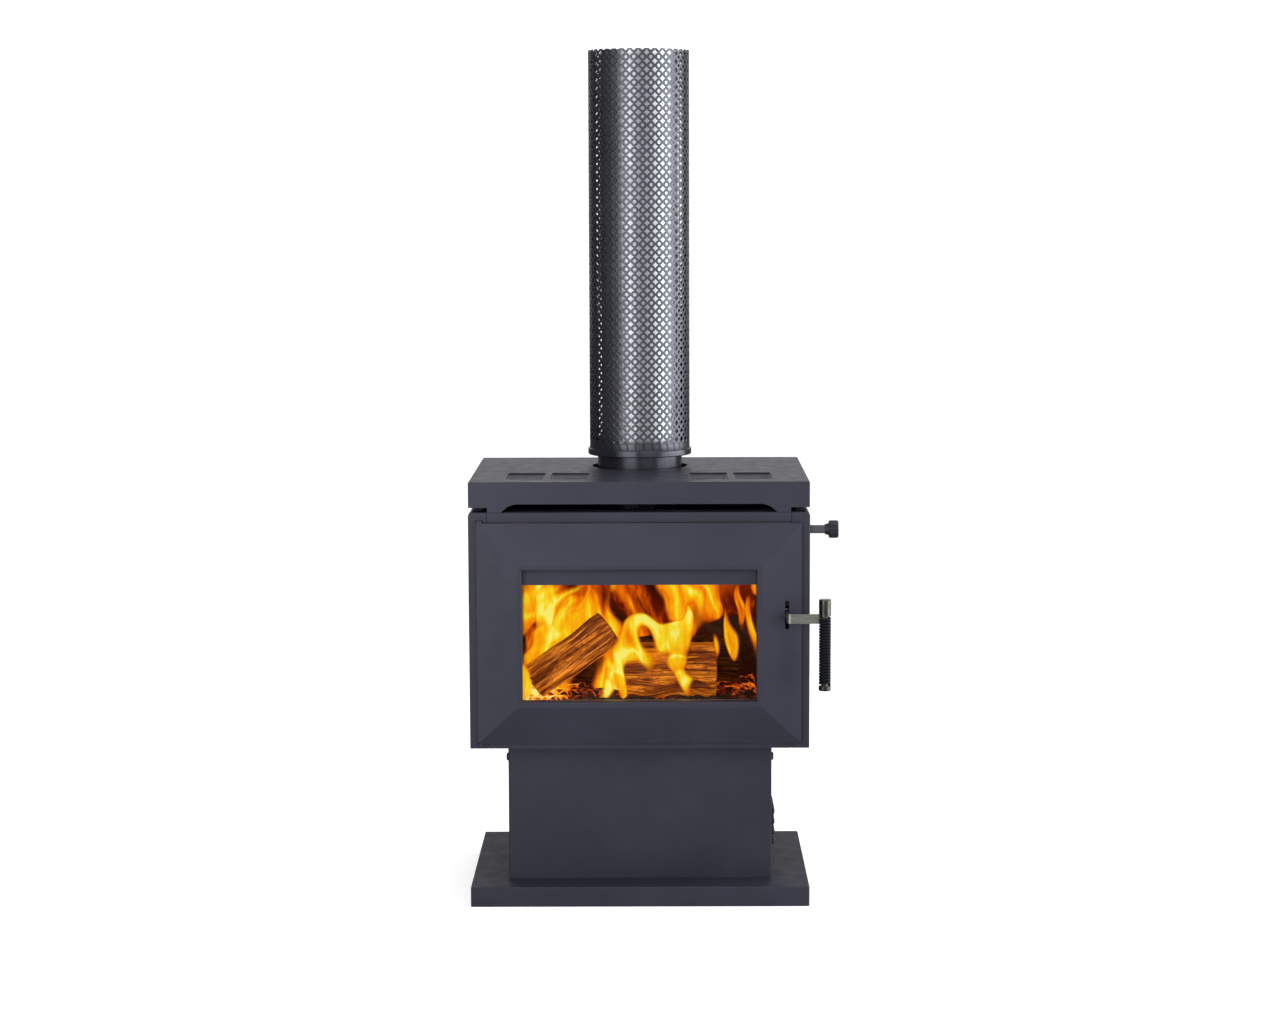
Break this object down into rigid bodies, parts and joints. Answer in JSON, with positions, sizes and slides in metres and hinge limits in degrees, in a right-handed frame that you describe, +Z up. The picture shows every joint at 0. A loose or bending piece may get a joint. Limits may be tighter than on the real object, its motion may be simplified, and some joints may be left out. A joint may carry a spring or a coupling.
{
  "type": "wood burning stove",
  "caption": "Free-standing wood burning stove on a pedestal: glazed hinged door with a coil-grip latch handle, air control rod, vented lid and perforated flue casing.",
  "frame": {"origin": "on the floor under the middle of the body's front face", "axes": "+X to the right seen from the front, +Y to the back, +Z up"},
  "size_m": [0.7055, 0.5478, 1.641],
  "materials": {
    "body_paint": "satin high-temperature paint",
    "lid_paint": "satin high-temperature paint",
    "firebox_steel": "matt, heat blued",
    "plated_steel": "plated",
    "shroud_steel": "satin black",
    "flue_steel": "bright stainless",
    "arm_steel": "brushed stainless",
    "polished_steel": "polished",
    "coil_black": "black, semi-gloss",
    "knob_black": "black, semi-gloss",
    "rod_paint": "satin paint",
    "firebrick": "matt, sooted",
    "window_glass": "clear ceramic glass",
    "seal_rope": "knitted glass rope",
    "board": "matt fibre-cement",
    "grommet": "matt",
    "fan_metal": "sheet metal",
    "motor_paint": "semi-gloss",
    "split_wood": "split, charred and glowing",
    "embers": "charcoal and glowing embers"
  },
  "bodies": {
    "stove": {"airwash_channel": "plated_steel", "baffle_plate": "firebox_steel", "base_board": "board", "base_tray": "body_paint", "bottom_rail": "body_paint", "cable_grommet": "grommet", "casing_floor": "body_paint", "casing_left_panel": "body_paint", "casing_rear_panel": "body_paint", "casing_right_panel": "body_paint", "ember_bed": "embers", "fan_housing": "fan_metal", "fan_motor": "motor_paint", "firebox_floor": "firebox_steel", "firebox_front": "firebox_steel", "firebox_rear": "firebox_steel", "firebox_roof": "firebox_steel", "firebox_sides": "firebox_steel", "firebox_supports": "plated_steel", "flue_pipe": "flue_steel", "flue_shroud": "shroud_steel", "flue_spigot": "body_paint", "front_log": "split_wood", "hearth_bricks": "firebrick", "hinge_lugs": "body_paint", "hinge_pins": "plated_steel", "latch_keeper": "plated_steel", "leaning_log": "split_wood", "lid_rails": "plated_steel", "mounting_rails": "plated_steel", "pedestal_bolts": "body_paint", "pedestal_front": "body_paint", "pedestal_left_side": "body_paint", "pedestal_rear_panel": "body_paint", "pedestal_right_side": "body_paint", "rear_bricks": "firebrick", "rear_log": "split_wood", "shroud_ring": "body_paint", "shroud_spacer": "plated_steel", "side_bricks": "firebrick", "top_plate": "lid_paint", "top_rail": "body_paint", "vent_grilles": "lid_paint"},
    "door": {"door_frame": "body_paint", "glass_retainers": "plated_steel", "retainer_screws": "plated_steel", "door_glass": "window_glass", "glass_gasket": "seal_rope", "airwash_strip": "body_paint", "rope_seal": "seal_rope", "latch_pivot_pin": "plated_steel"},
    "latch": {"latch_arm": "arm_steel", "handle_bar": "polished_steel", "handle_coil": "coil_black", "handle_bolt": "arm_steel"},
    "air_control": {"air_slide_plate": "plated_steel", "air_control_rod": "rod_paint", "air_control_knob": "knob_black"},
    "fan": {"fan_impeller": "fan_metal", "fan_shaft": "fan_metal"}
  },
  "joints": [
    {"name": "door_hinge", "type": "hinge", "parent": "stove", "child": "door", "pos_m": [-0.305, -0.0056, 0.5275], "axis": [0, 0, -1], "range_deg": [0, 115]},
    {"name": "latch_turn", "type": "hinge", "parent": "door", "child": "latch", "pos_m": [0.2813, -0.006, 0.5611], "axis": [-1, 0, 0], "range_deg": [-20, 40]},
    {"name": "air_slide", "type": "slide", "parent": "stove", "child": "air_control", "axis": [1, 0, 0], "range_m": [-0.026, 0]},
    {"name": "fan_spin", "type": "hinge", "parent": "stove", "child": "fan", "pos_m": [0.157, 0.16, 0.1226], "axis": [1, 0, 0], "continuous": true}
  ]
}
